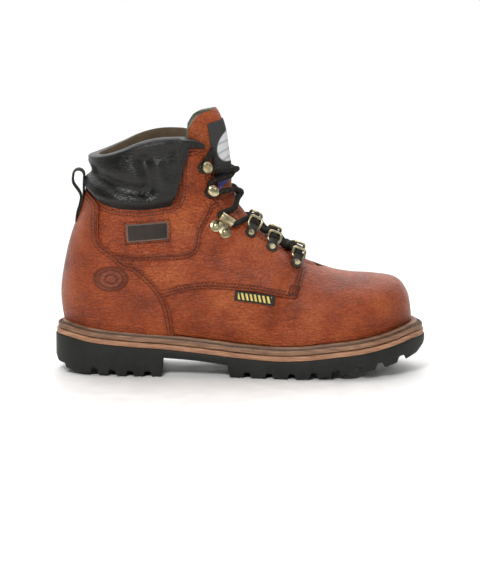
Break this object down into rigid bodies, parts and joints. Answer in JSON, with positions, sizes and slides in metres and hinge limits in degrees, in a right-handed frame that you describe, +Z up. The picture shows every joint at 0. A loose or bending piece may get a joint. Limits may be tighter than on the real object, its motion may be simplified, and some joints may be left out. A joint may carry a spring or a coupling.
{
  "type": "metatarsal guard boot",
  "caption": "Six-inch lace-up safety work boot with a padded collar, high tongue, lace lock and speed hooks, welted lug sole and raised heel; right foot.",
  "frame": {"origin": "middle of the boot's bounding box, on the floor under the sole", "axes": "+X towards the toe, +Y towards the inner (medial) side of the right foot, +Z up"},
  "size_m": [0.314, 0.114, 0.23],
  "materials": {
    "leather": "satin",
    "collar_leather": "satin",
    "outsole": "matte",
    "midsole": "matte",
    "welt": "matte",
    "insole": "matte",
    "metal": "satin",
    "webbing": "matte",
    "patch": "matte",
    "tag": "matte",
    "label": "satin",
    "lace": "matte"
  },
  "bodies": {
    "root": {"outsole": "outsole", "midsole": "midsole", "welt": "welt", "insole": "insole", "upper": "leather", "heel_counter": "leather", "quarter_lateral": "leather", "quarter_medial": "leather", "collar": "collar_leather", "tongue": "leather", "tongue_label": "label", "pull_loop": "webbing", "side_patch": "patch", "side_tag": "tag", "d_ring_lateral_1": "metal", "rivet_ring_lateral_1": "metal", "d_ring_lateral_2": "metal", "rivet_ring_lateral_2": "metal", "d_ring_lateral_3": "metal", "rivet_ring_lateral_3": "metal", "lock_lateral": "metal", "rivet_lock_lateral_1": "metal", "hook_lateral_1": "metal", "rivet_lock_lateral_2": "metal", "hook_lateral_2": "metal", "d_ring_medial_1": "metal", "rivet_ring_medial_1": "metal", "d_ring_medial_2": "metal", "rivet_ring_medial_2": "metal", "d_ring_medial_3": "metal", "rivet_ring_medial_3": "metal", "lock_medial": "metal", "rivet_lock_medial_1": "metal", "hook_medial_1": "metal", "rivet_lock_medial_2": "metal", "hook_medial_2": "metal", "lace_cross_1": "lace", "lace_cross_2": "lace", "lace_cross_3": "lace", "lace_cross_4": "lace", "lace_cross_5": "lace"}
  },
  "joints": []
}
